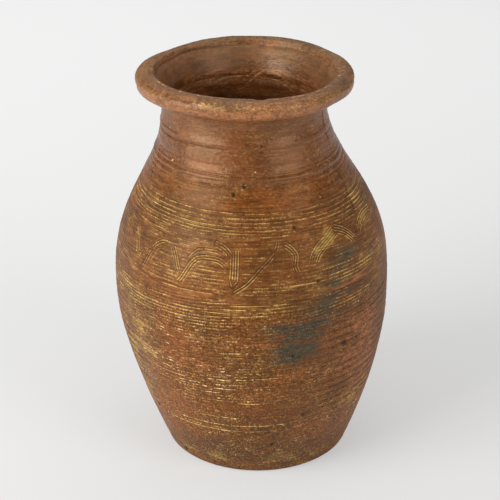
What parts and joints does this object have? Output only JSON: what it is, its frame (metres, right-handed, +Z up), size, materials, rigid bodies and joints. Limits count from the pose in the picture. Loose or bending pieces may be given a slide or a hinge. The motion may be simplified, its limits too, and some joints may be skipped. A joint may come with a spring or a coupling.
{
  "type": "earthenware yoghurt pot",
  "caption": "Tall vase-shaped earthenware pot with a wide belly, a narrower neck and a rolled lip, combed with fine grooves and an incised band, for setting and storing yoghurt.",
  "frame": {"origin": "middle of the flat foot, on the surface the pot stands on", "axes": "+Z up from the foot to the mouth; the pot leans a little towards -X as it rises"},
  "size_m": [0.1928, 0.1928, 0.28],
  "materials": {
    "body_clay": "unglazed, combed, pale clay dust left in the grooves",
    "neck_clay": "unglazed, burnished to a satin",
    "rim_clay": "unglazed, worn to ochre along its edge"
  },
  "bodies": {
    "root": {"base_disc": "body_clay", "lower_wall": "body_clay", "belly_wall": "body_clay", "shoulder_wall": "body_clay", "neck_wall": "neck_clay", "rim_coil": "rim_clay"}
  },
  "joints": []
}
